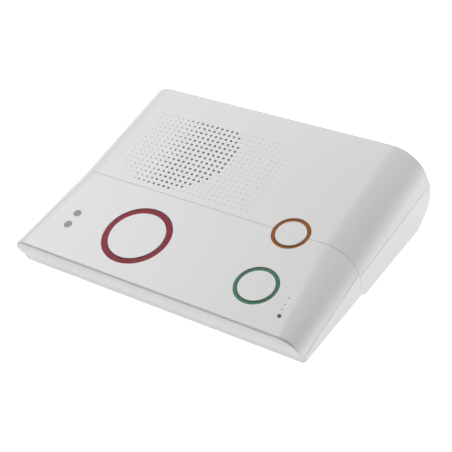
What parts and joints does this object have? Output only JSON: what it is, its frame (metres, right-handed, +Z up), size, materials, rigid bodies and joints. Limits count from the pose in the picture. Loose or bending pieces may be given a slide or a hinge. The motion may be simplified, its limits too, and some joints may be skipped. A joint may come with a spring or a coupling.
{
  "type": "medical alert base station",
  "caption": "Low desktop console with a sloping top, a loudspeaker grille and push buttons in coloured light rings, for calling help hands-free.",
  "frame": {"origin": "on the table, under the middle of the console's footprint", "axes": "+X to the right seen from the front, +Y towards the rear (the thick end, with the sockets), +Z up"},
  "size_m": [0.192, 0.154, 0.0548],
  "materials": {
    "front_shell": "satin moulded",
    "rear_shell": "satin moulded",
    "case_shell": "fine moulded texture",
    "red_light_guide": "translucent satin",
    "green_light_guide": "translucent satin",
    "orange_light_guide": "translucent satin",
    "button_plastic": "satin moulded",
    "dark_plastic": "moulded",
    "window_plastic": "translucent",
    "lamp_resin": "clear resin",
    "circuit_board": "solder mask",
    "steel": "zinc plated",
    "black_rubber": "foam or soft rubber",
    "grey_rubber": "matt",
    "cone_paper": "treated paper",
    "magnet_iron": "sintered",
    "lead_insulation": "extruded",
    "antenna_brass": "drawn wire",
    "ribbon_plastic": "flexible flat cable",
    "cell_sleeve": "shrink sleeve",
    "white_plastic": "moulded"
  },
  "bodies": {
    "console": {"front_cover": "front_shell", "rear_cover": "rear_shell", "bottom_case": "case_shell", "help_ring": "red_light_guide", "green_ring": "green_light_guide", "orange_ring": "orange_light_guide", "push_switches": "dark_plastic", "status_windows": "window_plastic", "status_lamps": "lamp_resin", "ring_lamps": "lamp_resin", "button_board": "circuit_board", "button_board_screws": "steel", "microphone": "steel", "microphone_boot": "black_rubber", "speaker_gasket": "black_rubber", "speaker_basket": "dark_plastic", "speaker_cone": "cone_paper", "speaker_magnet": "magnet_iron", "speaker_clips": "steel", "speaker_screws": "steel", "speaker_leads": "lead_insulation", "main_board": "circuit_board", "board_components": "dark_plastic", "radio_module": "steel", "antenna": "antenna_brass", "main_board_screws": "steel", "ribbon_link": "ribbon_plastic", "ribbon_connectors": "ribbon_plastic", "battery_pack": "cell_sleeve", "battery_leads": "lead_insulation", "battery_door": "case_shell", "battery_door_screw": "steel", "power_inlet": "dark_plastic", "line_socket": "dark_plastic", "phone_socket": "dark_plastic", "power_switch": "dark_plastic", "rubber_feet": "grey_rubber", "housing_screws": "steel"},
    "help_key": {"help_button": "button_plastic", "help_plunger": "dark_plastic"},
    "green_key": {"green_button": "button_plastic", "green_plunger": "dark_plastic"},
    "orange_key": {"orange_button": "button_plastic", "orange_plunger": "dark_plastic"},
    "power_knob": {"power_slider": "white_plastic"}
  },
  "joints": [
    {"name": "help_press", "type": "slide", "parent": "console", "child": "help_key", "axis": [0, 0.2079, -0.9781], "range_m": [0, 0.001], "stiffness_N_per_m": 1500, "springref_m": -0.0005},
    {"name": "green_press", "type": "slide", "parent": "console", "child": "green_key", "axis": [0, 0.2079, -0.9781], "range_m": [0, 0.001], "stiffness_N_per_m": 1200, "springref_m": -0.0005},
    {"name": "orange_press", "type": "slide", "parent": "console", "child": "orange_key", "axis": [0, 0.2079, -0.9781], "range_m": [0, 0.001], "stiffness_N_per_m": 1200, "springref_m": -0.0005},
    {"name": "power_slide", "type": "slide", "parent": "console", "child": "power_knob", "axis": [1, 0, 0], "range_m": [0, 0.003]}
  ]
}
